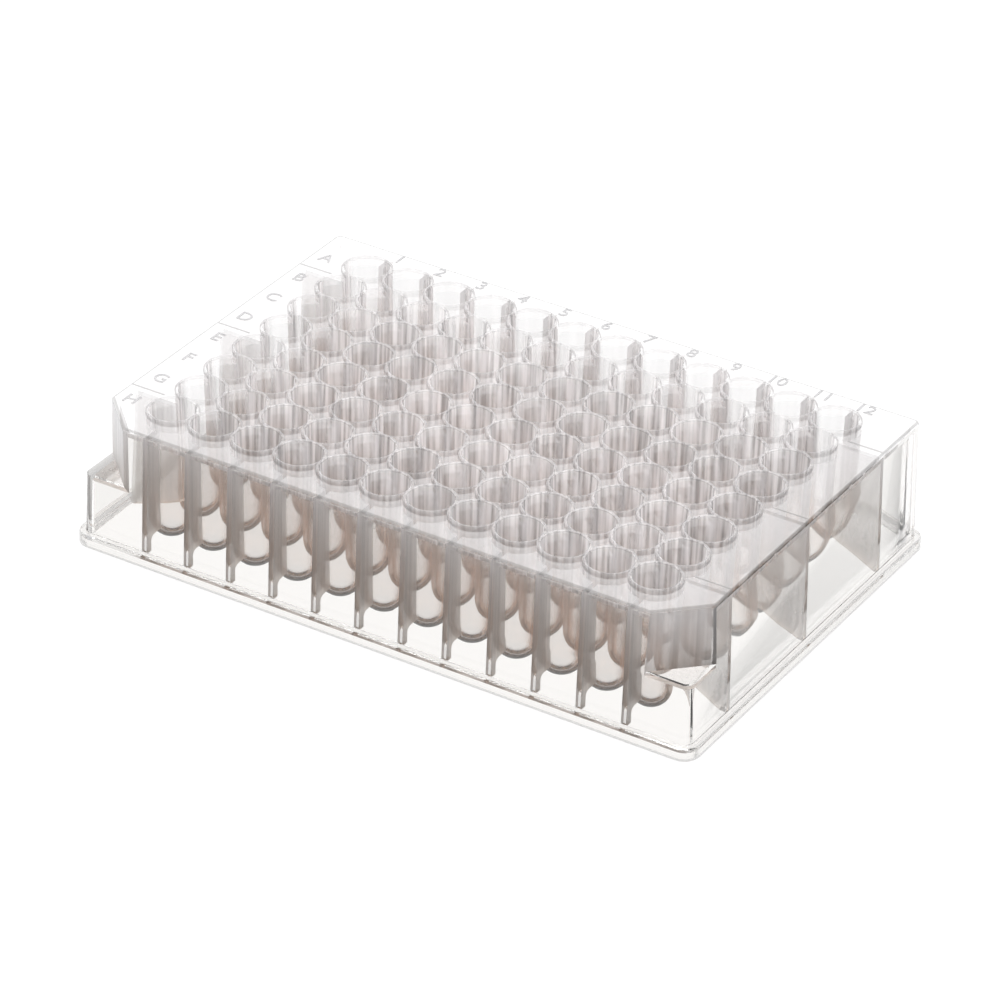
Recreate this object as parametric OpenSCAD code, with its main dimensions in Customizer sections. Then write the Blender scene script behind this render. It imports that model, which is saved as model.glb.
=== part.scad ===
// Round-bottom well plate, moulded in one piece in clear plastic.
// X runs along the columns, Y along the rows and Z up. The origin is at the centre of the
// base plane, under the middle of the plate. All sizes are in millimetres.

/* [Footprint] */
// Length of the base flange, along the columns
base_l = 127.76; // [105:0.01:160]
// Width of the base flange, along the rows
base_w = 85.48; // [70:0.01:110]
// Height of the whole plate, from the base plane to the well rims
plate_h = 27; // [20:0.1:45]
// Corner radius of the base flange
base_corner_r = 3.18; // [2.6:0.01:4.5]

/* [Base flange] */
// Height of the flange
flange_h = 2.5; // [2:0.05:3.5]
// How far the flange stands out from the foot of the skirt
flange_step = 1.28; // [1:0.01:1.6]
// Round on the upper edge of the flange
flange_round = 0.4; // [0.1:0.05:0.6]
// Depth of the stacking recess inside the flange
recess_h = 1.2; // [0.8:0.05:1.6]
// Gap round the deck of the plate below when plates are stacked
stack_clear = 0.7; // [0.5:0.05:0.9]

/* [Skirt and deck] */
// Wall of the skirt, of the corner cuts and of the ledges under them
skirt_t = 1.3; // [0.9:0.05:1.6]
// How far each side of the skirt leans in between the flange and the deck
skirt_lean = 0.72; // [0.4:0.01:0.9]
// Thickness of the deck
deck_t = 1.3; // [0.8:0.05:2]
// Round along the edge of the deck
deck_round = 0.5; // [0.2:0.05:0.6]
// Corner radius inside the skirt, just under the deck
inner_corner_r = 0.3; // [0.2:0.05:0.8]

/* [Corner cuts] */
// Leg of the 45 degree cut at the two front corners of the deck
notch_leg = 8.1; // [6:0.1:10]
// Height of the ledge under each cut, above the base plane
ledge_z = 14.2; // [8:0.1:17]

/* [Wells] */
// Distance from one well to the next
pitch = 9; // [8.8:0.05:11]
// Least distance from the outer well centres to the short edges of the deck
end_margin = 10.5; // [9:0.1:12]
// Least distance from the outer well centres to the long edges of the deck
side_margin = 7.8; // [7:0.1:9]
// Height of the rims above the deck
rim_h = 0.9; // [0.4:0.05:1.5]
// Inner radius of a well at its mouth
mouth_r = 4.2; // [3.5:0.01:4.25]
// Round on the inner edge of a well's mouth
mouth_round = 0.2; // [0.05:0.05:0.2]
// Inner radius of a well's round bottom
foot_r = 3.5; // [2.9:0.01:4]
// Wall of a well
well_t = 0.66; // [0.5:0.01:0.8]
// Thickness of a well's round bottom at its lowest point
floor_t = 0.9; // [0.7:0.05:1.2]
// Gap between the wells' bottoms and the base plane
foot_gap = 1; // [0.5:0.1:3]

/* [Ribs] */
// Thickness of the ribs
rib_t = 1; // [0.8:0.05:1.2]
// Gap between the lower edges of the ribs and the deck of a plate stacked below
rib_clear = 0.3; // [0.1:0.05:0.6]
// Length of a long-side rib's foot, in from the skirt
rib_foot = 1.5; // [1:0.1:1.8]
// Height of the cut between a long-side rib's foot and its well, above the wells' bottoms
rib_cut_h = 3.5; // [2.5:0.1:3.8]
// Round in the corner of that cut
rib_cut_r = 1; // [0.5:0.1:1.3]
// Height at which the lower edge of a short-side rib meets its wells, above their bottoms
end_rib_h = 5; // [4.5:0.1:8]
// Length of the level foot of a short-side rib, in from the skirt
end_rib_foot = 0.8; // [0.5:0.1:1.5]

/* [Hidden] */
$fn = 64;

// Derived sizes are kept to a thousandth of a millimetre
function mm(x) = round(x * 1000) / 1000;

// Half sizes of the flange, the foot of the skirt and the deck
base_hl = mm(base_l / 2);
base_hw = mm(base_w / 2);
skirt_hl = base_hl - flange_step;
skirt_hw = base_hw - flange_step;
deck_hl = skirt_hl - skirt_lean;
deck_hw = skirt_hw - skirt_lean;

// Upper face of the deck, the height at which its rounded edge starts, and the slope of
// the skirt, in sideways travel per unit of height
deck_z = plate_h - rim_h;
edge_z = deck_z - deck_round;
slope = skirt_lean / (edge_z - flange_h);

// The upright corner axes, which the flange, the skirt and the recess share
axis_x = base_hl - base_corner_r;
axis_y = base_hw - base_corner_r;
skirt_r = base_corner_r - flange_step;
deck_r = skirt_r - skirt_lean;

// The recess fits over the deck of a plate below it
recess_r = deck_r + stack_clear;

// The space under the deck
cavity_z = deck_z - deck_t;
cavity_lean = mm(slope * (cavity_z - recess_h));
cavity_hl = mm(skirt_at(skirt_hl, recess_h) - skirt_t);
cavity_hw = mm(skirt_at(skirt_hw, recess_h) - skirt_t);
cavity_r = inner_corner_r + cavity_lean;

// As many wells as the deck holds at the given pitch, centred on it
cols = floor(2 * (deck_hl - end_margin) / pitch) + 1;
rows = floor(2 * (deck_hw - side_margin) / pitch) + 1;
end_x = (cols - 1) * pitch / 2;
end_y = (rows - 1) * pitch / 2;

// Outside of a well, and the centre heights of its round bottom, outside and inside
mouth_out_r = mouth_r + well_t;
foot_out_r = foot_r + well_t;
foot_out_z = foot_gap + foot_out_r;
foot_in_z = foot_gap + floor_t + foot_r;

// Lower edges of the ribs, and the gaps between rows in which the short-side ribs stand
rib_z = recess_h + rib_clear;
rib_cut_z = foot_gap + rib_cut_h;
end_rib_z = foot_gap + end_rib_h;
end_rib_gaps = [1, round(rows / 2), rows - 1];

// Cuts run past the faces they open by this much
past = 2;

function col_x(c) = c * pitch - end_x;
function row_y(r) = end_y - r * pitch;
function gap_y(g) = end_y - (g - 0.5) * pitch;
function skirt_at(half, z) = half + slope * (flange_h - z);

// A block with four upright corner axes at cx, cy. Its outline beyond them is the profile
// given as a child, with the distance from the axis along X and the height along Y.
module block_around(cx, cy, z0, z1)
{
    translate([-cx, -cy, z0])
        cube([2 * cx, 2 * cy, z1 - z0]);
    for (side = [0, 1]) {
        mirror([side, 0, 0])
            translate([cx, cy, 0])
                rotate([90, 0, 0])
                    linear_extrude(2 * cy)
                        children();
        mirror([0, side, 0])
            translate([-cx, cy, 0])
                rotate([90, 0, 90])
                    linear_extrude(2 * cx)
                        children();
    }
    for (sx = [0, 1], sy = [0, 1])
        mirror([sx, 0, 0])
            mirror([0, sy, 0])
                translate([cx, cy, 0])
                    rotate_extrude(angle = 90)
                        children();
}

// Profile of the outside: the upright flange with its rounded shoulder, the leaning skirt
// and the rounded edge of the deck
module outer_profile()
{
    shoulder_x = base_corner_r - flange_round;
    shoulder_z = flange_h - flange_round;
    round_x = deck_r - deck_round;
    translate([shoulder_x, shoulder_z]) {
        circle(flange_round);
        translate([-shoulder_x, -shoulder_z])
            square([shoulder_x, flange_h]);
        translate([-shoulder_x, -shoulder_z])
            square([base_corner_r, shoulder_z]);
    }
    translate([round_x, edge_z]) {
        circle(deck_round);
        polygon([[-round_x, flange_h - flange_round - edge_z],
                 [skirt_r - round_x, flange_h - flange_round - edge_z],
                 [skirt_r - round_x, flange_h - edge_z], [deck_round, 0], [0, 0],
                 [0, deck_round], [-round_x, deck_round]]);
    }
}

// Space cut away at a front corner of the deck, seen along the 45 degree face: X is the
// distance out from that face. It rounds the deck's edge over the face.
module notch_profile()
{
    translate([-deck_round, edge_z])
        difference() {
            translate([0, ledge_z - edge_z])
                square([notch_leg + deck_round, deck_z + past - ledge_z]);
            translate([0, ledge_z - edge_z])
                square([deck_round, edge_z - ledge_z]);
            circle(deck_round);
        }
}

// Places its child at both front corners, with X straight out from the 45 degree face
module at_front_corners()
{
    for (sx = [0, 1])
        mirror([sx, 0, 0])
            translate([deck_hl - notch_leg / 2, notch_leg / 2 - deck_hw, 0])
                rotate([0, 0, -45])
                    children();
}

// Full-length cuts for the front corners of the deck
module corner_notches()
{
    at_front_corners()
        translate([0, notch_leg, 0])
            rotate([90, 0, 0])
                linear_extrude(2 * notch_leg)
                    notch_profile();
}

// Material kept behind the 45 degree faces and under their ledges
module corner_walls()
{
    at_front_corners()
        translate([-skirt_t, -notch_leg, ledge_z - skirt_t])
            cube([notch_leg + skirt_t, 2 * notch_leg, deck_z + past - ledge_z + skirt_t]);
}

// Space under the deck, with the stacking recess below it
module cavity()
{
    difference() {
        block_around(cavity_hl - cavity_r, cavity_hw - cavity_r, recess_h, cavity_z)
            polygon([[0, recess_h], [cavity_r, recess_h], [inner_corner_r, cavity_z], [0, cavity_z]]);
        corner_walls();
    }
    block_around(axis_x, axis_y, -past, recess_h)
        translate([0, -past])
            square([recess_r, recess_h + past]);
}

// Flange, skirt, deck and corner cuts as one open shell
module shell()
{
    color([0.86, 0.87, 0.89, 0.6])
        difference() {
            block_around(axis_x, axis_y, 0, deck_z)
                outer_profile();
            corner_notches();
            cavity();
        }
}

// Half section of a well, or of the space in it: a round bottom of radius r, centred at
// height z, and a side that leans out from it to the mouth
module well_section(r, z, top_r, top_z)
{
    translate([0, z]) {
        polygon([[0, 0], [r, 0], [top_r, top_z - z], [0, top_z - z]]);
        intersection() {
            circle(r);
            translate([0, -r - past])
                square([r + past, r + past]);
        }
    }
}

// Repeats its child at every well
module at_wells()
{
    for (c = [0 : cols - 1], r = [0 : rows - 1])
        translate([col_x(c), row_y(r), 0])
            children();
}

// The outside of all the wells, up to their rims
module well_bodies()
{
    color([0.8, 0.81, 0.85, 0.6])
        at_wells()
            rotate_extrude()
                well_section(foot_out_r, foot_out_z, mouth_out_r, plate_h);
}

// The spaces in the wells, opening out over the round of the mouth and on past the rims
module well_bores()
{
    wide_r = mm(mouth_r + mouth_round);
    round_z = mm(plate_h - mouth_round);
    at_wells()
        rotate_extrude() {
            well_section(foot_r, foot_in_z, mouth_r, round_z);
            translate([wide_r, round_z])
                difference() {
                    translate([-wide_r, 0])
                        square([wide_r, mouth_round + past]);
                    circle(mouth_round);
                }
        }
}

// Outline of a long-side rib: X is the distance from the plate's middle, Y the height. It
// starts inside the wall of its well and ends inside the skirt's. Its foot stands on the
// inner face of the skirt, and a rounded cut parts the foot from the well.
module long_rib_outline()
{
    foot_x = skirt_at(skirt_hw, rib_z) - skirt_t - rib_foot;
    well_x = end_y + foot_r + well_t / 2;
    difference() {
        polygon([[well_x, rib_z], [skirt_at(skirt_hw, rib_z) - skirt_t / 2, rib_z],
                 [deck_hw - skirt_t / 2, cavity_z + deck_t / 2],
                 [end_y + mouth_r + well_t / 2, cavity_z + deck_t / 2]]);
        translate([foot_x - rib_cut_r, rib_cut_z - rib_cut_r]) {
            circle(rib_cut_r);
            translate([-end_y, -rib_cut_z])
                square([end_y + rib_cut_r, rib_cut_z]);
            translate([-end_y, -rib_cut_z])
                square([end_y, rib_cut_z + rib_cut_r]);
        }
    }
}

// Outline of a short-side rib: its lower edge rises from a short foot at the skirt to the
// gap between two wells, and the rib goes 1 mm past the narrowest place of that gap
module end_rib_outline()
{
    foot_x = skirt_at(skirt_hl, rib_z) - skirt_t - end_rib_foot;
    polygon([[end_x - 1, end_rib_z], [end_x, end_rib_z], [foot_x, rib_z],
             [skirt_at(skirt_hl, rib_z) - skirt_t / 2, rib_z],
             [deck_hl - skirt_t / 2, cavity_z + deck_t / 2], [end_x - 1, cavity_z + deck_t / 2]]);
}

// Ribs from the outer wells to the skirt: one on each column's line along both long sides,
// and three in the gaps between rows on each short side
module ribs()
{
    color([0.74, 0.74, 0.77, 0.6]) {
        for (c = [0 : cols - 1], side = [0, 1])
            mirror([0, side, 0])
                translate([col_x(c) - rib_t / 2, 0, 0])
                    rotate([90, 0, 90])
                        linear_extrude(rib_t)
                            long_rib_outline();
        for (g = end_rib_gaps, side = [0, 1])
            mirror([side, 0, 0])
                translate([0, gap_y(g) + rib_t / 2, 0])
                    rotate([90, 0, 0])
                        linear_extrude(rib_t)
                            end_rib_outline();
    }
}

module well_plate()
{
    difference() {
        union() {
            union() {
                shell();
                well_bodies();
            }
            ribs();
        }
        well_bores();
    }
}

well_plate();
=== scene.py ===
"""A clear, moulded, round-bottom well plate on a pale studio floor.

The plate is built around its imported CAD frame. Every shape is a surface worked out with numpy, in millimetres
in the frame of the CAD model, and the parts of the moulding are joined into one closed skin.
"""

import math

import bmesh
import bpy
import numpy as np
from bpy.props import FloatProperty, FloatVectorProperty, IntProperty, PointerProperty
from mathutils import Matrix, Vector


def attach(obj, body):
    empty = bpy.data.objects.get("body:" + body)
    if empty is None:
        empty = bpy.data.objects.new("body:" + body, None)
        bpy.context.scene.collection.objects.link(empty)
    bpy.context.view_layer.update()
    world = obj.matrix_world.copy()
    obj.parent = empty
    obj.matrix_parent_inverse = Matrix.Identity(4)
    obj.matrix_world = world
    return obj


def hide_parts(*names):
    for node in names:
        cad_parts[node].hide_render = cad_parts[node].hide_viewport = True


bl_info = {
    "name": "Well plate",
    "version": (1, 0, 0),
    "blender": (4, 5, 0),
    "location": "View3D > Sidebar > Well plate",
    "description": "Builds a clear round-bottom well plate, its labels and a studio around its CAD frame",
    "category": "Object",
}

MM = 0.001
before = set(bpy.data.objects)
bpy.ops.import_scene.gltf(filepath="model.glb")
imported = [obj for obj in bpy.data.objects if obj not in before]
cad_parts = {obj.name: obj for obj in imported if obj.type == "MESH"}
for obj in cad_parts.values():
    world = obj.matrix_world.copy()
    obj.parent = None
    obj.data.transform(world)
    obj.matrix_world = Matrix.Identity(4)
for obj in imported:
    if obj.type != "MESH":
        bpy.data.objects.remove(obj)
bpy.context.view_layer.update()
BODY = "root"
# how far below the deck's underside the look of its edge reaches, in millimetres: inside the walls and inside
# the corner cuts
INNER_BAND, CUT_BAND = 0.7, 2.6
# how far a cutting shape reaches past the faces that it cuts, in millimetres
PAST = 2


# ---------------------------------------------------------------- profiles and surfaces


def arc(cx, cy, r, start, end, count):
    """Points on a circle of radius r about (cx, cy), at count even steps from start to end degrees."""
    a = np.radians(np.linspace(start, end, count))
    return np.column_stack((cx + r * np.cos(a), cy + r * np.sin(a)))


def grid_faces(rows, cols):
    """Quads of a grid that closes on itself along its columns."""
    i = np.arange(rows - 1)[:, None]
    j = np.arange(cols)[None, :]
    k = (j + 1) % cols
    return np.stack((i * cols + j, i * cols + k, (i + 1) * cols + k, (i + 1) * cols + j), -1).reshape(-1, 4)


def mesh_object(name, verts, faces):
    """An object at the origin whose mesh holds the points, given in millimetres, and the faces, which are
    turned outwards."""
    mesh = bpy.data.meshes.new(name)
    mesh.from_pydata((np.asarray(verts, float) * MM).tolist(), [], faces)
    bm = bmesh.new()
    bm.from_mesh(mesh)
    bmesh.ops.recalc_face_normals(bm, faces=bm.faces)
    bm.to_mesh(mesh)
    bm.free()
    obj = bpy.data.objects.new(name, mesh)
    bpy.context.scene.collection.objects.link(obj)
    return obj


def swept_block(name, axis_x, axis_y, profile, turns):
    """A block with rounded upright corners. Its profile gives the distance from the four corner axes and the
    height: each profile point goes once round as (corner + distance * (cos t, sin t), height), where t runs a
    quarter turn at each corner and jumps along the straight sides."""
    profile = np.asarray(profile, float)
    t = np.radians(np.concatenate([90 * q + np.linspace(0, 90, turns + 1) for q in range(4)]))
    sx = np.repeat([1, -1, -1, 1], turns + 1)
    sy = np.repeat([1, 1, -1, -1], turns + 1)
    x = sx * axis_x + profile[:, :1] * np.cos(t)
    y = sy * axis_y + profile[:, :1] * np.sin(t)
    z = np.broadcast_to(profile[:, 1:], x.shape)
    n = len(t)
    faces = grid_faces(len(profile), n).tolist()
    faces += [list(range(n)), list(range((len(profile) - 1) * n, len(profile) * n))]
    return mesh_object(name, np.stack((x, y, z), -1).reshape(-1, 3), faces)


def revolved(profile, steps):
    """Points and faces of a profile of (radius, height) turned about Z: (r cos t, r sin t, z) for t all the
    way round. The profile's first and last points lie on the axis and become single poles."""
    profile = np.asarray(profile, float)
    t = (np.arange(steps) + 0.5) * 2 * np.pi / steps
    ring = profile[1:-1]
    x, y = ring[:, :1] * np.cos(t), ring[:, :1] * np.sin(t)
    verts = np.stack((x, y, np.broadcast_to(ring[:, 1:], x.shape)), -1).reshape(-1, 3)
    verts = np.vstack((verts, [[0, 0, profile[0, 1]], [0, 0, profile[-1, 1]]]))
    j = np.arange(steps)
    k = (j + 1) % steps
    last = (len(ring) - 1) * steps
    faces = grid_faces(len(ring), steps).tolist()
    faces += np.column_stack((k, j, np.full(steps, len(verts) - 2))).tolist()
    faces += np.column_stack((last + j, last + k, np.full(steps, len(verts) - 1))).tolist()
    return verts, faces


def repeated(name, verts, faces, places):
    """One object with a copy of the shape at each place: every point plus every place."""
    shifts = np.column_stack((places, np.zeros(len(places))))
    points = (verts[None] + shifts[:, None]).reshape(-1, 3)
    copies = [[i + len(verts) * n for i in face] for n in range(len(places)) for face in faces]
    return mesh_object(name, points, copies)


def prisms(name, outlines):
    """One object of straight prisms. Each is a flat outline of points in space and the vector that it is
    carried along."""
    verts, faces = [], []
    for points, along in outlines:
        n, base = len(points), len(verts)
        verts += points.tolist() + (points + along).tolist()
        faces += [[base + i for i in range(n)], [base + n + i for i in range(n)]]
        faces += [[base + i, base + (i + 1) % n, base + n + (i + 1) % n, base + n + i] for i in range(n)]
    return mesh_object(name, verts, faces)


def combine(obj, other, operation):
    """Joins the other closed shape to obj, or cuts it away, and removes it."""
    step = obj.modifiers.new("combine", "BOOLEAN")
    step.operation, step.object, step.solver = operation, other, "MANIFOLD"
    old = obj.data
    mesh = bpy.data.meshes.new_from_object(obj.evaluated_get(bpy.context.evaluated_depsgraph_get()))
    obj.modifiers.clear()
    obj.data = mesh
    bpy.data.meshes.remove(old)
    used = other.data
    bpy.data.objects.remove(other)
    bpy.data.meshes.remove(used)


def finish_mesh(obj, sharp):
    """Merges doubled points, drops faces of no area and shades the skin smooth up to the given angle."""
    bm = bmesh.new()
    bm.from_mesh(obj.data)
    bmesh.ops.remove_doubles(bm, verts=bm.verts, dist=1e-7)
    bmesh.ops.dissolve_degenerate(bm, edges=bm.edges, dist=1e-7)
    bm.to_mesh(obj.data)
    bm.free()
    obj.data.shade_smooth()
    obj.data.set_sharp_from_angle(angle=math.radians(sharp))


def place_piece(obj, materials, name):
    """Names a finished piece, gives it its materials and lets it ride on the plate's body."""
    obj.name = obj.data.name = name
    obj.data.materials.clear()
    for material in materials:
        obj.data.materials.append(material)
    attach(obj, BODY)
    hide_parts("well_plate")


# ---------------------------------------------------------------- shader maths


class Sock:
    """A shader socket that can be used in a sum. Its operators add Math nodes."""

    def __init__(self, shader, socket):
        self.shader, self.socket = shader, socket

    def math(self, operation, *values):
        return self.shader.node("ShaderNodeMath", {"operation": operation}, dict(enumerate(values)))

    def __add__(self, other):
        return self.math("ADD", self, other)

    __radd__ = __add__

    def __sub__(self, other):
        return self.math("SUBTRACT", self, other)

    def __rsub__(self, other):
        return self.math("SUBTRACT", other, self)

    def __mul__(self, other):
        return self.math("MULTIPLY", self, other)

    __rmul__ = __mul__

    def __truediv__(self, other):
        return self.math("DIVIDE", self, other)

    def __abs__(self):
        return self.math("ABSOLUTE", self)

    def least(self, other):
        return self.math("MINIMUM", self, other)

    def most(self, other):
        return self.math("MAXIMUM", self, other)

    def between(self, start, end, low=0.0, high=1.0, kind="LINEAR"):
        """Low where this is start, high where it is end, and no further on either side."""
        return self.shader.node("ShaderNodeMapRange", {"interpolation_type": kind},
                                {0: self, 1: start, 2: end, 3: low, 4: high})

    def soft(self, start, end, low=0.0, high=1.0):
        """The same with a soft start and end."""
        return self.between(start, end, low, high, "SMOOTHSTEP")

    def axis(self, number):
        """One of a vector's three parts."""
        return self.shader.node("ShaderNodeSeparateXYZ", {}, {0: self}, number)


class Shader:
    """The node tree of a material or a world."""

    def __init__(self, tree):
        self.tree = tree
        tree.nodes.clear()

    def node(self, kind, settings=None, inputs=None, output=0):
        """Adds a node: its settings first, then the values or links of its sockets. Returns one output. The
        setting "stops" is a colour ramp's stops, each a place and a colour."""
        node = self.tree.nodes.new(kind)
        for key, value in (settings or {}).items():
            if key == "stops":
                elements = node.color_ramp.elements
                elements.remove(elements[-1])
                for n, (place, colour) in enumerate(value):
                    element = elements.new(place) if n else elements[0]
                    element.position, element.color = place, (*colour, 1)
            else:
                setattr(node, key, value)
        for key, value in (inputs or {}).items():
            if isinstance(value, Sock):
                self.tree.links.new(value.socket, node.inputs[key])
            else:
                node.inputs[key].default_value = value
        return Sock(self, node.outputs[output]) if node.outputs else None

    def ramp(self, factor, stops):
        """A colour ramp through the stops."""
        return self.node("ShaderNodeValToRGB", {"stops": stops}, {"Fac": factor}, "Color")

    def noise(self, place, scale, detail=2.0):
        """Noise from 0 to 1, with about as many specks in a metre as the scale says."""
        return self.node("ShaderNodeTexNoise", {}, {"Vector": place, "Scale": scale, "Detail": detail}, "Fac")

    def blend(self, share, first, second):
        """The first colour where the share is 0 and the second where it is 1."""
        return self.node("ShaderNodeMix", {"data_type": "RGBA"}, {0: share, 6: first, 7: second}, 2)

    def rays(self, *kinds):
        """Values that are 1 for a ray of each kind and 0 for others."""
        return [self.node("ShaderNodeLightPath", output=kind) for kind in kinds]


def new_material(name):
    """An empty material, its shader and the place on the piece."""
    material = bpy.data.materials.new(name)
    material.use_nodes = True
    s = Shader(material.node_tree)
    return material, s, s.node("ShaderNodeTexCoord", output="Object")


def let_light_through(s, surface, tint):
    """Ends a clear material: lamp light passes it straight on, with a faint tint."""
    open_skin = s.node("ShaderNodeBsdfTransparent", {}, {"Color": (*tint, 1)})
    shadow = s.rays("Is Shadow Ray")[0]
    both = s.node("ShaderNodeMixShader", {}, {0: shadow, 1: surface, 2: open_skin})
    s.node("ShaderNodeOutputMaterial", {}, {"Surface": both})


def clear_skin(look):
    """Outside of the moulding: glossy clear plastic with faint flow marks in its gloss. The flange is a
    little matt."""
    material, s, place = new_material("clear_skin")
    flow = s.noise(place, 260.0)
    matt = place.axis(2).between(2.4 * MM, 2.8 * MM, 0.1, 0.0)
    skin = s.node("ShaderNodeBsdfPrincipled", {}, {
        "Base Color": (*look.clear, 1), "Roughness": 0.02 + 0.03 * flow + matt, "IOR": look.ior,
        "Transmission Weight": 0.97})
    let_light_through(s, skin, (0.97, 0.965, 0.96))
    return material


def thin_wall(name, look, tones, thin, thick, foot=(3.0, 0.0), painted_streak=0.1, slants=None, haze=None, fade=None):
    """Thin clear wall seen through the skin. It is nearly clear face on and grey along its outline, as thin
    glass is. Heights and places are in millimetres.

    tones: pairs of a height and the colour there
    thin, thick: how dense the wall is face on and along its outline
    foot: the height up to which the slanting part of its round bottom is dense, and how dense
    painted_streak: strength of the fine upright light and dark streaks painted over it, which stand in for the
    refracted flanks of the wells behind
    slants: the slants at which its outline starts and is full
    haze: pairs of a height and how dense the wall is there, whatever the slant
    fade: where the haze starts and is full, from the left and then from the back
    """
    material, s, place = new_material(name)
    x, y, z = (place.axis(number) for number in range(3))
    top = tones[-1][0] * MM
    # the tone by height, which carries painted light and shade for the walls and ribs: lighter near the deck,
    # where light falls in from above
    tone = s.ramp(z / top, [(height * MM / top, colour) for height, colour in tones])
    # painted light and shade: fine upright streaks that lighten and darken the tone, standing in for the
    # refracted flanks of the wells behind
    fine = s.node("ShaderNodeVectorMath", {"operation": "MULTIPLY"}, {0: place, 1: (1300, 1300, 12)})
    line = s.noise(fine, 1.0, 1.0).between(0.35, 0.65, 1 - painted_streak, 1 + painted_streak)
    base = s.node("ShaderNodeVectorMath", {"operation": "SCALE"}, {0: tone, 3: line})
    facing = s.node("ShaderNodeLayerWeight", {}, {"Blend": 0.5}, "Facing")
    start, end = slants or (look.edge_start, look.edge_end)
    cover = facing.soft(start, end, thin, thick)
    if haze:
        upper = s.ramp(z / top, [(height * MM / top, (dense,) * 3) for height, dense in haze])
        if fade:
            upper = upper * x.soft(fade[0] * MM, fade[1] * MM) * y.soft(fade[2] * MM, fade[3] * MM)
        cover = cover.most(upper)
    # painted shade: the slanting part of a round bottom turns dense with the dark foot tone
    if foot[1]:
        cover = cover.most(facing.soft(0.34, 0.46) * z.soft((foot[0] - 0.7) * MM, foot[0] * MM, foot[1], 0.0))
    skin = s.node("ShaderNodeBsdfPrincipled", {}, {
        "Base Color": base, "Roughness": 0.3, "IOR": look.ior, "Specular IOR Level": look.wall_gloss,
        "Alpha": cover})
    let_light_through(s, skin, (0.93, 0.925, 0.925))
    return material


def flat_top(look, pitch):
    """Deck and rim tops: clear plastic with a milky bloom from the mould, and faint lines above the ribs of
    the short sides."""
    material, s, place = new_material("bloomed_deck")
    rough = s.noise(place, 90.0).between(0.3, 0.7, 0.16, 0.26)
    deck = np.array(look.deck)
    clean = s.ramp(s.noise(place, 1400.0, 1.0), [(0.35, deck * 0.96), (0.65, np.minimum(deck * 1.04, 1))])
    x, y = abs(place.axis(0)), abs(place.axis(1))
    from_rib = y.least(abs(y - 3 * pitch * MM))
    line = from_rib.between(0.12 * MM, 0.3 * MM, 1.0, 0.0) * x.between(54.3 * MM, 54.5 * MM)
    skin = s.node("ShaderNodeBsdfPrincipled", {}, {
        "Base Color": s.blend(line, clean, (*look.line, 1)), "Roughness": rough, "IOR": look.ior,
        "Alpha": look.deck_cover + 0.35 * line})
    let_light_through(s, skin, (0.93, 0.92, 0.91))
    return material


def raised_mark(look):
    """Raised letters: the deck's plastic, a little denser, with a soft sheen."""
    material, s, place = new_material("raised_mark")
    rough = s.noise(place, 400.0).between(0.3, 0.7, 0.2, 0.35)
    skin = s.node("ShaderNodeBsdfPrincipled", {}, {
        "Base Color": (*look.mark, 1), "Roughness": rough, "IOR": look.ior, "Alpha": 0.5})
    let_light_through(s, skin, (0.93, 0.92, 0.91))
    return material


# the plastics' places in the moulding's list of materials
SKIN, WALL, INSIDE, RIB, DECK, EDGE = range(6)


def plastics(look, pitch):
    """The looks of the clear plastic: skin, well wall, well inside, rib, deck, and the deck's edge."""
    foot, low, middle, high, rim, edge = (
        tuple(c) for c in (look.foot, look.low, look.middle, look.high, look.rim, look.line))
    # painted light and shade in the tones by height: walls and ribs are painted lighter towards the deck, where
    # light falls in through the open mouths, than at half height; the foot tone is painted shade on the thick
    # round bottoms and the rim tone a painted shade line on the rounded rim walls
    wall = thin_wall(
        "well_wall", look,
        [(3.0, foot), (3.8, low), (8, low), (15, middle), (23, high), (25.9, high), (26.1, rim), (27, rim)],
        look.thin, look.thick, foot=(3.7, look.foot_shade_cover))
    inside = thin_wall(
        "well_inside", look,
        [(2.3, foot), (3.0, low), (8, low), (12, middle), (17, high), (26.7, high), (26.85, rim), (27, rim)],
        look.thin, look.thick, foot=(2.9, look.foot_shade_cover), painted_streak=look.painted_streak,
        haze=((17, 0), (23, look.haze)), fade=(-51, -36, 33, 18))
    rib = thin_wall("rib_wall", look, [(1.5, look.rib_low), (8, middle), (24, high)],
                    look.rib_thin, look.rib_thick)
    # painted shade lines along the deck's edge and on the far walls: dense with the dark edge tone at a slant
    # and in two thin bands near the deck
    deck_edge_shade = thin_wall(
        "deck_edge_shade", look, [(0, edge), (26.2, edge)], 0.04, 0.85, slants=(0.62, 0.85),
        haze=((24.55, 0), (24.62, 0.1), (24.75, 0.1), (24.82, 0), (25.8, 0), (25.88, 0.45)))
    return [clear_skin(look), wall, inside, rib, flat_top(look, pitch), deck_edge_shade]


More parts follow.
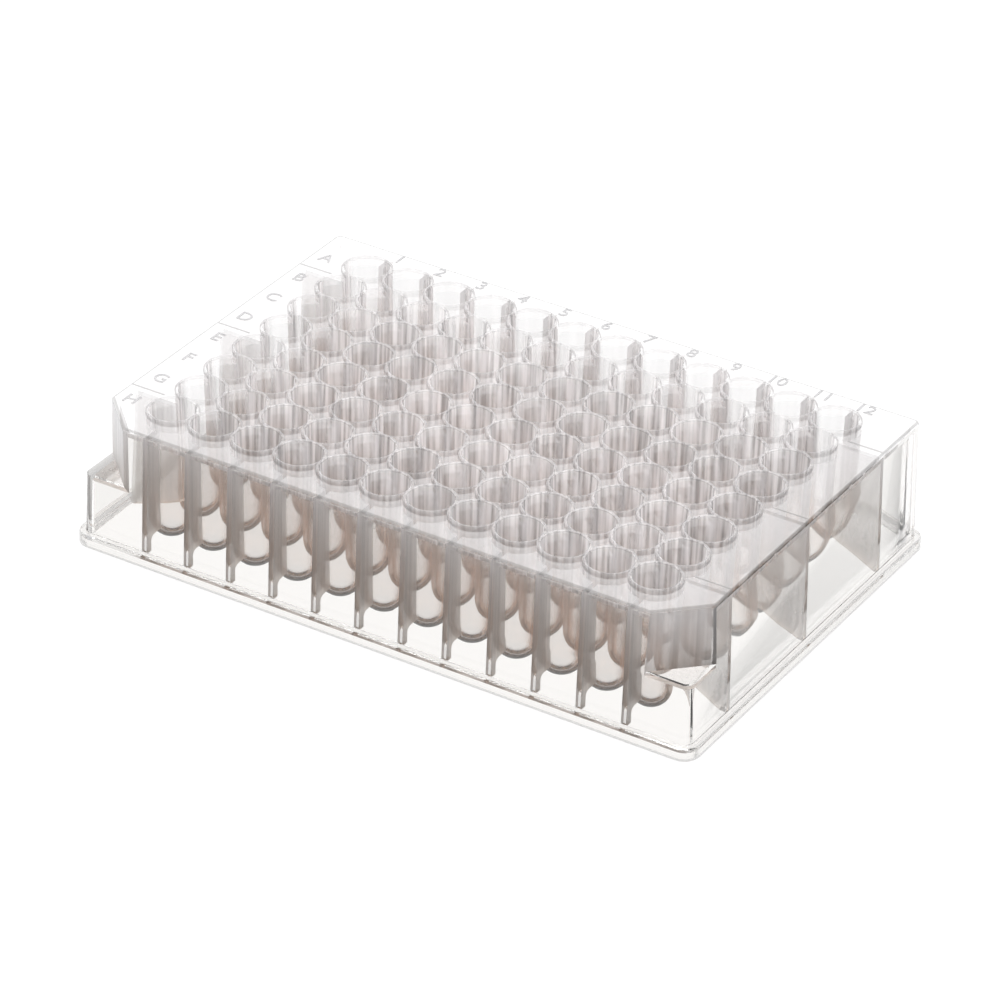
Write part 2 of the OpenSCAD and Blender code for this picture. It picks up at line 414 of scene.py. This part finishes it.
def face_kinds(mesh, plate, wells):
    """Which of the plastics each face has, from its middle and its normal. A well's wall and its inside are
    where the normal points away from or towards the nearest well's axis. The ribs' faces lie under the deck
    and off the walls. The deck is every flat face at its height or the rims'. The deck's edge is its rounding
    and the top of the walls' inner faces. The two far walls, at the back and the left, have its look on both
    faces, because a ray that comes in through a thin face and meets a refracting one is caught inside."""
    count = len(mesh.polygons)
    middle, normal = np.empty(count * 3), np.empty(count * 3)
    mesh.polygons.foreach_get("center", middle)
    mesh.polygons.foreach_get("normal", normal)
    middle, normal = middle.reshape(-1, 3) / MM, normal.reshape(-1, 3)
    z, across = middle[:, 2], np.abs(middle[:, :2])
    deck_z = plate.plate_h - wells.rim_h
    top = deck_z - plate.deck_t
    # room for rounding in millimetres, and in a normal or a wall
    slack, little = 0.05, 0.02

    hollow = np.array([plate.base_l, plate.base_w]) / 2 - plate.flange_step - plate.skirt_lean - plate.skirt_t
    rib_side = (np.abs(normal[:, :2]) > 0.9) & (across < hollow - 0.5)
    kinds = np.full(count, SKIN, np.int32)
    kinds[(z < top - slack) & (z > plate.recess_h) & (rib_side.any(1) | (across < hollow).all(1))] = RIB

    cells = np.array([wells.columns, wells.rows])
    step = np.clip(np.round(middle[:, :2] / wells.pitch + (cells - 1) / 2), 0, cells - 1)
    away = middle[:, :2] - (step - (cells - 1) / 2) * wells.pitch
    radius = np.hypot(away[:, 0], away[:, 1])
    outward = (away * normal[:, :2]).sum(1) / np.maximum(radius, 1e-6)
    near = radius < wells.mouth_r + wells.well_t + little
    kinds[near & (outward > little)] = WALL
    kinds[near & (outward < -little)] = INSIDE
    kinds[(np.abs(normal[:, 2]) > 0.99) & (z > top - 2 * slack)] = DECK

    outer = (middle[:, :2] * normal[:, :2]).sum(1) > 0
    # the middles of the strips under the deck lie above this
    strip_z = top - 0.6 * CUT_BAND
    inner_band = ~outer & (z > strip_z)
    # above 0 on both faces of the back and left walls. Level faces count as inner ones and have about 0, so
    # inner faces need 0.3
    turned = np.where(outer, 1, -1) * (normal[:, 1] - 0.6 * normal[:, 0])
    far_wall = (turned > np.where(outer, 0, 0.3)) & (z > plate.flange_h + plate.foot_round)
    kinds[(kinds == SKIN) & (inner_band | far_wall | (z > deck_z - plate.deck_round))] = EDGE
    return kinds


# ---------------------------------------------------------------- sizes and looks


def size(name, text, value):
    """A length property in millimetres."""
    return FloatProperty(name=name, description=text, default=value, min=0.0)


class WP_PG_plate(bpy.types.PropertyGroup):
    """Sizes of the moulding, in millimetres."""

    base_l: size("Base length", "Length of the base flange", 127.76)
    base_w: size("Base width", "Width of the base flange", 85.48)
    plate_h: size("Height", "Height from the base to the rims", 27.0)
    base_corner_r: size("Base corner", "Corner radius of the base flange", 3.18)
    flange_h: size("Flange height", "Height of the base flange", 2.5)
    flange_step: size("Flange step", "How far the flange stands out from the skirt", 1.28)
    flange_round: size("Flange round", "Round on the flange's upper edge", 0.4)
    foot_round: size("Skirt foot round", "Round in the corner between flange and skirt", 0.2)
    recess_h: size("Recess depth", "Depth of the stacking recess", 1.2)
    stack_clear: size("Stacking gap", "Gap round the deck of a plate below", 0.7)
    skirt_t: size("Wall", "Wall of the skirt, corner cuts and ledges", 1.3)
    skirt_lean: size("Lean", "How far each side leans in up to the deck", 0.72)
    deck_t: size("Deck", "Thickness of the deck", 1.3)
    deck_round: size("Deck round", "Round along the edge of the deck", 0.5)
    inner_corner_r: size("Inner corner", "Corner radius inside the skirt", 0.3)
    notch_leg: size("Corner cut", "Leg of the cut at each front corner", 8.1)
    ledge_z: size("Ledge height", "Height of the ledge under each cut", 14.2)
    rib_t: size("Rib", "Thickness of the ribs", 1.0)
    rib_clear: size("Rib gap", "Gap below the ribs to a stacked plate's deck", 0.3)
    rib_foot: size("Rib foot", "Length of a long-side rib's foot", 1.5)
    rib_cut_h: size("Rib cut", "Height of a long-side rib's cut above the wells' bottoms", 3.5)
    rib_cut_r: size("Rib cut round", "Round in the corner of that cut", 1.0)
    end_rib_h: size("End rib height", "Height of a short-side rib's inner end above the wells' bottoms", 5.0)
    end_rib_foot: size("End rib foot", "Length of a short-side rib's foot", 0.8)


class WP_PG_wells(bpy.types.PropertyGroup):
    """Sizes and number of the wells, in millimetres."""

    columns: IntProperty(name="Columns", description="Number of columns of wells", default=12, min=1)
    rows: IntProperty(name="Rows", description="Number of rows of wells", default=8, min=1)
    pitch: size("Pitch", "Distance between neighbouring wells", 9.0)
    rim_h: size("Rim height", "Height of the rims above the deck", 0.9)
    mouth_r: size("Mouth radius", "Inner radius of a well at its mouth", 4.2)
    foot_r: size("Foot radius", "Inner radius where the round bottom starts", 3.5)
    well_t: size("Wall", "Wall of a well", 0.66)
    floor_t: size("Floor", "Thickness of a well's round bottom", 0.9)
    foot_gap: size("Foot gap", "Gap between the wells' bottoms and the base plane", 1.0)
    lip: size("Lip", "Round on the outer edge of a rim", 0.3)
    mouth_lip: size("Mouth lip", "Round on the inner edge of a rim", 0.2)
    steps: IntProperty(name="Steps", description="Sides of a well's round", default=36, min=12)


class WP_PG_labels(bpy.types.PropertyGroup):
    """Sizes of the raised row letters and column numbers, in millimetres."""

    letter_h: size("Letter height", "Height of a letter or number", 2.8)
    raised: size("Raised", "How far a letter stands up from the deck", 0.15)
    row_x: size("Letter distance", "Distance of the letters from the middle of the plate", 58.4)
    column_y: size("Number distance", "Distance of the numbers from the middle of the plate", 38.7)
    column_shift: size("Number shift", "How far a number stands to the right of its column", 2.7)


def colour(name, text, value):
    """A colour property."""
    return FloatVectorProperty(name=name, description=text, subtype="COLOR", default=value, min=0, max=1)


def amount(name, text, value):
    """A share from 0 to 1."""
    return FloatProperty(name=name, description=text, subtype="FACTOR", default=value, min=0, max=1)


class WP_PG_look(bpy.types.PropertyGroup):
    """Colours and clearness of the plastic, and light of the studio."""

    clear: colour("Skin", "Tint of the clear skin", (0.985, 0.967, 0.945))
    # painted shade: the dark crescent on the thick round bottoms, where they bend light away, partly the
    # thicker plastic's own depth
    foot: colour("Well foot", "Colour of the thick round bottoms", (0.05, 0.042, 0.036))
    low: colour("Low walls", "Colour of the walls near the base", (0.70, 0.47, 0.32))
    rib_low: colour("Rib foot", "Colour of the ribs near the base", (0.82, 0.74, 0.67))
    middle: colour("Middle walls", "Colour of the walls at half height", (0.58, 0.51, 0.455))
    # painted light: the walls near the deck are painted this light, where light falls in through the open
    # mouths
    high: colour("High walls", "Colour of the walls near the deck", (0.94, 0.925, 0.93))
    # painted shade: a grey line painted on the rounded rim walls and round the top of the mouths
    rim: colour("Rim line", "Colour of the rounded rim walls", (0.56, 0.55, 0.55))
    # painted shade: the dark lines along the deck's edge and on the far walls; the deck's faint lines over the
    # ribs take this colour too
    line: colour("Edge line", "Colour of the lines along the deck's edge", (0.30, 0.295, 0.29))
    deck: colour("Deck", "Colour of the deck's bloom", (0.75, 0.74, 0.74))
    mark: colour("Letters", "Colour of the raised letters", (0.45, 0.45, 0.46))
    ior: FloatProperty(name="Refraction", description="Index of refraction of the plastic", default=1.5,
                       min=1)
    thin: amount("Face on", "How dense a well's wall is, seen face on", 0.10)
    thick: amount("Edge on", "How dense a well's wall is along its outline", 0.65)
    rib_thin: amount("Rib face on", "How dense a rib is, seen face on", 0.36)
    rib_thick: amount("Rib edge on", "How dense a rib is, seen at a slant", 0.85)
    edge_start: amount("Edge start", "Slant at which a wall starts to turn dense", 0.22)
    edge_end: amount("Edge end", "Slant at which a wall is fully dense", 0.70)
    # how densely the painted shade of the round bottoms covers them
    foot_shade_cover: amount("Foot", "How dense the slanting part of a round bottom is", 0.97)
    wall_gloss: amount("Wall gloss", "Strength of the shine on the inner walls", 0.1)
    haze: amount("Haze", "How dense the inside of a well is near the deck", 0.45)
    # painted light and shade: upright streaks standing in for the refracted flanks of the wells behind
    painted_streak: amount("Painted streaks", "Strength of the painted streaks inside the wells", 0.5)
    deck_cover: amount("Bloom", "How dense the deck's bloom is", 0.30)
    floor_grey: amount("Floor", "Grey of the studio floor", 0.95)
    lamp_power: FloatProperty(name="Soft light", description="Power of the overhead soft light", default=20.0,
                              min=0, unit="POWER")


# ---------------------------------------------------------------- the moulding


def corner_frame(plate, side, points, reach):
    """Carries an outline of (distance out from the 45 degree face, height) to a front corner of the deck, and
    along that face by reach both ways. Side is 1 on the right and -1 on the left."""
    deck_hl = plate.base_l / 2 - plate.flange_step - plate.skirt_lean
    deck_hw = plate.base_w / 2 - plate.flange_step - plate.skirt_lean
    middle = np.array([deck_hl - plate.notch_leg / 2, plate.notch_leg / 2 - deck_hw])
    out, along = np.array([1, -1]) / math.sqrt(2), np.array([1, 1]) / math.sqrt(2)
    points = np.asarray(points, float)
    flat = middle + points[:, :1] * out - reach * along
    turn = np.array([side, 1])
    return np.column_stack((flat * turn, points[:, 1])), np.append(2 * reach * along * turn, 0)


def shell(plate, deck_z):
    """Flange, leaning skirt and deck: an outer block swept round four corner axes, less the front corner
    cuts, the space under the deck and the stacking recess. The inner faces of the walls and of the corner
    cuts have a line across them, where the look of the deck's edge ends."""
    top, edge_z = deck_z - plate.deck_t, deck_z - plate.deck_round
    slope = plate.skirt_lean / (edge_z - plate.flange_h)
    axis_x, axis_y = plate.base_l / 2 - plate.base_corner_r, plate.base_w / 2 - plate.base_corner_r
    skirt_r = plate.base_corner_r - plate.flange_step
    deck_r = skirt_r - plate.skirt_lean
    shoulder = plate.base_corner_r - plate.flange_round
    chamfer = 0.1
    profile = np.vstack((
        [[plate.base_corner_r - chamfer, 0], [plate.base_corner_r, chamfer]],
        arc(shoulder, plate.flange_h - plate.flange_round, plate.flange_round, 0, 90, 5),
        arc(skirt_r + plate.foot_round, plate.flange_h + plate.foot_round, plate.foot_round, 270, 180, 4),
        arc(deck_r - plate.deck_round, edge_z, plate.deck_round, 0, 90, 6)))
    body = swept_block("shell", axis_x, axis_y, profile, 8)

    over = deck_z + PAST
    cut = np.vstack((
        [[0, plate.ledge_z], [0, edge_z]],
        arc(-plate.deck_round, edge_z, plate.deck_round, 0, 90, 6)[1:],
        [[-plate.deck_round, over], [plate.notch_leg, over], [plate.notch_leg, plate.ledge_z]]))
    combine(body, prisms("cut", [corner_frame(plate, s, cut, plate.notch_leg) for s in (1, -1)]),
            "DIFFERENCE")

    lean = slope * (top - plate.recess_h)
    inner_r = plate.inner_corner_r + lean
    grow = slope * (plate.flange_h - plate.recess_h) - plate.skirt_t - plate.flange_step
    below = plate.recess_h - 0.5
    space = swept_block("space", plate.base_l / 2 + grow - inner_r, plate.base_w / 2 + grow - inner_r,
                        [[inner_r, below], [inner_r, plate.recess_h],
                         [plate.inner_corner_r + slope * INNER_BAND, top - INNER_BAND],
                         [plate.inner_corner_r, top]], 4)
    under = plate.ledge_z - plate.skirt_t
    wall = [[-plate.skirt_t, under], [plate.notch_leg, under], [plate.notch_leg, over],
            [-plate.skirt_t, over], [-plate.skirt_t, top - CUT_BAND]]
    combine(space, prisms("wall", [corner_frame(plate, s, wall, plate.notch_leg) for s in (1, -1)]),
            "DIFFERENCE")
    combine(body, space, "DIFFERENCE")
    recess_r = deck_r + plate.stack_clear
    recess = swept_block("recess", axis_x, axis_y, [[recess_r, -PAST], [recess_r, plate.recess_h]], 6)
    combine(body, recess, "DIFFERENCE")
    return body


def well_places(wells):
    """The wells' places, and 0 or 1 for the two colours of a chequerboard, on which like wells don't touch.
    A place is (column, row) times the pitch, counted from the middle of the plate."""
    c, r = (grid.ravel() for grid in np.meshgrid(np.arange(wells.columns), np.arange(wells.rows)))
    places = np.column_stack((c - (wells.columns - 1) / 2, (wells.rows - 1) / 2 - r)) * wells.pitch
    return places, (c + r) % 2


def well_outside(wells, plate_h):
    """Outside of a well: a quarter circle for the round bottom, a leaning side, and a rounded rim."""
    foot, mouth = wells.foot_r + wells.well_t, wells.mouth_r + wells.well_t
    bottom = arc(0, wells.foot_gap + foot, foot, -90, 0, 8)
    bottom[0, 0] = 0
    rim = arc(mouth - wells.lip, plate_h - wells.lip, wells.lip, 0, 90, 5)
    half = (bottom[-1] + rim[0]) / 2
    return revolved(np.vstack((bottom, [half], rim, [[0, plate_h]])), wells.steps)


def well_inside(wells, plate_h):
    """Space in a well: the same form one wall smaller, flared over the rounded inner edge of the rim."""
    bottom = arc(0, wells.foot_gap + wells.floor_t + wells.foot_r, wells.foot_r, -90, 0, 8)
    bottom[0, 0] = 0
    rim = arc(wells.mouth_r + wells.mouth_lip, plate_h - wells.mouth_lip, wells.mouth_lip, 180, 90, 5)
    half = (bottom[-1] + rim[0]) / 2
    wide = wells.mouth_r + wells.mouth_lip
    over = plate_h + PAST / 2
    return revolved(np.vstack((bottom, [half], rim, [[wide, over], [0, over]])), wells.steps)


def ribs(plate, wells, deck_z):
    """Flat ribs: one on each column's line along both long sides, with a rounded cut over its foot, and three
    on each short side, in the gaps between rows, with a sloping lower edge."""
    slope = plate.skirt_lean / (deck_z - plate.deck_round - plate.flange_h)
    rib_z = plate.recess_h + plate.rib_clear
    top = deck_z - plate.deck_t / 2
    shift = slope * (plate.flange_h - rib_z) - plate.skirt_t
    end_x, end_y = (wells.columns - 1) * wells.pitch / 2, (wells.rows - 1) * wells.pitch / 2
    skirt_l, skirt_w = plate.base_l / 2 - plate.flange_step, plate.base_w / 2 - plate.flange_step
    foot, cut_z, r = skirt_w + shift - plate.rib_foot, wells.foot_gap + plate.rib_cut_h, plate.rib_cut_r
    inner = end_y + wells.well_t / 2
    long_side = np.vstack((
        [[foot, rib_z], [skirt_w + shift + plate.skirt_t / 2, rib_z],
         [skirt_w - plate.skirt_lean - plate.skirt_t / 2, top], [inner + wells.mouth_r, top],
         [inner + wells.foot_r, cut_z]], arc(foot - r, cut_z - r, r, 90, 0, 6)))
    end_z = wells.foot_gap + plate.end_rib_h
    short_side = np.array([
        [end_x - 1, end_z], [end_x, end_z], [skirt_l + shift - plate.end_rib_foot, rib_z],
        [skirt_l + shift + plate.skirt_t / 2, rib_z], [skirt_l - plate.skirt_lean - plate.skirt_t / 2, top],
        [end_x - 1, top]])
    outlines = []
    for side in (1, -1):
        for c in range(wells.columns):
            x = np.full(len(long_side), c * wells.pitch - end_x - plate.rib_t / 2)
            outlines.append((np.column_stack((x, side * long_side[:, 0], long_side[:, 1])),
                             np.array([plate.rib_t, 0, 0])))
        for gap in (1, round(wells.rows / 2), wells.rows - 1):
            y = np.full(len(short_side), end_y - (gap - 0.5) * wells.pitch - plate.rib_t / 2)
            outlines.append((np.column_stack((side * short_side[:, 0], y, short_side[:, 1])),
                             np.array([0, plate.rib_t, 0])))
    return prisms("ribs", outlines)


class WP_OT_plate(bpy.types.Operator):
    """Build the clear moulding: shell, wells and ribs as one closed skin."""

    bl_idname = "well_plate.plate"
    bl_label = "Build plate"

    def execute(self, context):
        plate, wells = context.scene.wp_plate, context.scene.wp_wells
        deck_z = plate.plate_h - wells.rim_h
        body = shell(plate, deck_z)
        places, colour = well_places(wells)
        verts, faces = well_outside(wells, plate.plate_h)
        for half in (0, 1):
            combine(body, repeated("wells", verts, faces, places[colour == half]), "UNION")
        combine(body, ribs(plate, wells, deck_z), "UNION")
        combine(body, repeated("spaces", *well_inside(wells, plate.plate_h), places), "DIFFERENCE")
        finish_mesh(body, 28)
        place_piece(body, plastics(context.scene.wp_look, wells.pitch), "plate_moulding")
        body.data.polygons.foreach_set("material_index", face_kinds(body.data, plate, wells))
        return {"FINISHED"}


def word(text, height):
    """Points in millimetres and faces of a flat-topped word, as tall as asked and centred on its own place.
    Its thickness is 1, so that it can be scaled to the height that it stands up."""
    curve = bpy.data.curves.new("word", "FONT")
    curve.body, curve.size, curve.extrude, curve.resolution_u = text, 1.0, 0.5, 3
    curve.align_x, curve.align_y = "CENTER", "CENTER"
    obj = bpy.data.objects.new("word", curve)
    mesh = bpy.data.meshes.new_from_object(obj)
    points = np.empty(len(mesh.vertices) * 3)
    mesh.vertices.foreach_get("co", points)
    points = points.reshape(-1, 3)
    faces = [list(face.vertices) for face in mesh.polygons]
    tall = np.ptp(points[:, 1])
    points[:, :2] = (points[:, :2] - (points[:, :2].max(0) + points[:, :2].min(0)) / 2) * height / tall
    bpy.data.objects.remove(obj)
    bpy.data.curves.remove(curve)
    bpy.data.meshes.remove(mesh)
    return points, faces


class WP_OT_labels(bpy.types.Operator):
    """Raise the row letters at the left of the deck and the column numbers along its back."""

    bl_idname = "well_plate.labels"
    bl_label = "Build labels"

    def execute(self, context):
        plate, wells, labels = context.scene.wp_plate, context.scene.wp_wells, context.scene.wp_labels
        look = context.scene.wp_look
        deck_z = plate.plate_h - wells.rim_h
        places, _ = well_places(wells)
        words = [(chr(ord("A") + r), -labels.row_x, places[r * wells.columns, 1]) for r in range(wells.rows)]
        words += [(str(c + 1), places[c, 0] + labels.column_shift, labels.column_y)
                  for c in range(wells.columns)]
        verts, faces, base = [], [], 0
        for text, x, y in words:
            points, loops = word(text, labels.letter_h)
            points = points * [1, 1, labels.raised] + [x, y, deck_z + labels.raised / 2]
            verts.append(points)
            faces += [[base + i for i in loop] for loop in loops]
            base += len(points)
        place_piece(mesh_object("labels", np.vstack(verts), faces), [raised_mark(look)], "labels")
        return {"FINISHED"}


# ---------------------------------------------------------------- the stage


# the camera's lens and sensor in millimetres, its azimuth, elevation and roll in degrees, and its place
LENS, SENSOR = 183.489, 36.0
CAMERA_ANGLES = (30.930, 31.315, 1.577)
CAMERA_PLACE = (0.40004, -0.66840, 0.48297)
# the direction from the plate to its front, level with the floor
FRONT = (0.514, -0.857, 0.0)
# half the floor's length in millimetres, and the soft light's place and width in metres
FLOOR_HALF = 3000
LAMP_PLACE, LAMP_WIDTH = (-0.05, 0.05, 1.3), 1.2


class WP_OT_stage(bpy.types.Operator):
    """Build the camera, the pale floor, the surroundings and the soft light."""

    bl_idname = "well_plate.stage"
    bl_label = "Build stage"

    def execute(self, context):
        scene, look = context.scene, context.scene.wp_look
        scene.view_settings.view_transform = "Standard"
        lens = bpy.data.cameras.new("camera")
        lens.sensor_width, lens.lens, lens.clip_start, lens.clip_end = SENSOR, LENS, 0.01, 20.0
        camera = bpy.data.objects.new("camera", lens)
        scene.collection.objects.link(camera)
        camera.matrix_world = view_matrix(*CAMERA_ANGLES, CAMERA_PLACE)
        scene.camera = camera

        corners = [[x * FLOOR_HALF, y * FLOOR_HALF, 0] for x, y in ((-1, -1), (1, -1), (1, 1), (-1, 1))]
        floor = mesh_object("floor", corners, [[0, 1, 2, 3]])
        floor.data.materials.append(floor_paint(look))
        surroundings(scene)

        lamp = bpy.data.lights.new("soft_light", "AREA")
        lamp.shape, lamp.size = "SQUARE", LAMP_WIDTH
        lamp.energy, lamp.color = look.lamp_power, (1.0, 0.995, 0.99)
        holder = bpy.data.objects.new("soft_light", lamp)
        scene.collection.objects.link(holder)
        holder.location = LAMP_PLACE
        holder.rotation_euler = (-holder.location).to_track_quat("-Z", "Y").to_euler()
        scene.cycles.max_bounces = 16
        scene.cycles.transmission_bounces = 16
        scene.cycles.transparent_max_bounces = 96
        scene.cycles.caustics_reflective = False
        scene.cycles.caustics_refractive = False
        return {"FINISHED"}


def view_matrix(azimuth, elevation, roll, place):
    """Camera matrix from its angles in degrees: azimuth turned from straight ahead along +Y, elevation above
    the floor, and roll about the view line."""
    a, e, r = (math.radians(v) for v in (azimuth, elevation, roll))
    back = Vector((math.sin(a) * math.cos(e), -math.cos(a) * math.cos(e), math.sin(e)))
    right = Vector((math.cos(a), math.sin(a), 0))
    up = back.cross(right)
    right, up = right * math.cos(r) + up * math.sin(r), up * math.cos(r) - right * math.sin(r)
    columns = Matrix((right, up, back)).transposed().to_4x4()
    return Matrix.Translation(place) @ columns


def floor_paint(look):
    """Pale matt floor. It is white where it is seen, straight on or through the plastic, and keeps the
    plate's shadow. It gives less light back to the plate than a white floor would."""
    material, s, place = new_material("pale_floor")
    camera, glossy, clear, bounced = s.rays(
        "Is Camera Ray", "Is Glossy Ray", "Is Transmission Ray", "Is Diffuse Ray")
    grey = look.floor_grey
    paint = s.ramp(s.noise(place, 40.0), [(0.0, (grey - 0.01,) * 3), (1.0, (grey + 0.01,) * 3)])
    matt = s.node("ShaderNodeBsdfDiffuse", {}, {"Color": s.blend(bounced, paint, (0.35, 0.35, 0.35, 1))})
    white = s.node("ShaderNodeEmission", {}, {"Color": (1, 1, 1, 1), "Strength": 1.0})
    share = 0.75 * camera + 0.6 * glossy + clear
    both = s.node("ShaderNodeMixShader", {}, {0: share, 1: matt, 2: white})
    s.node("ShaderNodeOutputMaterial", {}, {"Surface": both})
    return material


def surroundings(scene):
    """A plain studio: pale behind the plate, dimmer in front of it and soft from above. Seen directly, it is
    white."""
    world = bpy.data.worlds.new("studio")
    world.use_nodes = True
    scene.world = world
    s = Shader(world.node_tree)
    ray = s.node("ShaderNodeTexCoord", output="Generated")
    toward = s.node("ShaderNodeVectorMath", {"operation": "DOT_PRODUCT"}, {0: ray, 1: FRONT}, "Value")
    around = s.ramp(toward * 0.5 + 0.5, [(0.3, (0.75, 0.75, 0.76)), (0.75, (0.45, 0.42, 0.40))])
    room = s.blend(ray.axis(2).soft(0.1, 0.7), around, (0.63, 0.635, 0.65, 1))
    light = s.node("ShaderNodeBackground", {}, {"Color": room, "Strength": 1.0})
    plain = s.node("ShaderNodeBackground", {}, {"Color": (1, 1, 1, 1), "Strength": 1.0})
    camera, clear = s.rays("Is Camera Ray", "Is Transmission Ray")
    both = s.node("ShaderNodeMixShader", {}, {0: camera + 0.8 * clear, 1: light, 2: plain})
    s.node("ShaderNodeOutputWorld", {}, {"Surface": both})


class WP_PT_panel(bpy.types.Panel):
    """The plate's sizes, looks and builders."""

    bl_idname = "WP_PT_panel"
    bl_label = "Well plate"
    bl_space_type = "VIEW_3D"
    bl_region_type = "UI"
    bl_category = "Well plate"

    def draw(self, context):
        for name in GROUPS:
            group, box = getattr(context.scene, name), self.layout.box()
            for key in group.__annotations__:
                box.prop(group, key)
        for operator in OPERATORS:
            self.layout.operator(operator.bl_idname)


OPERATORS = (WP_OT_stage, WP_OT_plate, WP_OT_labels)
GROUPS = {"wp_plate": WP_PG_plate, "wp_wells": WP_PG_wells, "wp_labels": WP_PG_labels, "wp_look": WP_PG_look}


def register():
    for cls in (*GROUPS.values(), *OPERATORS, WP_PT_panel):
        bpy.utils.register_class(cls)
    for name, group in GROUPS.items():
        setattr(bpy.types.Scene, name, PointerProperty(type=group))


def unregister():
    for name in GROUPS:
        delattr(bpy.types.Scene, name)
    for cls in (WP_PT_panel, *reversed(OPERATORS), *reversed(GROUPS.values())):
        bpy.utils.unregister_class(cls)


def main():
    """Registers the add-on, builds the stage, the plate and its labels."""
    register()
    bpy.ops.well_plate.stage()
    bpy.ops.well_plate.plate()
    bpy.ops.well_plate.labels()
    bpy.context.view_layer.update()


if __name__ == "__main__":
    main()
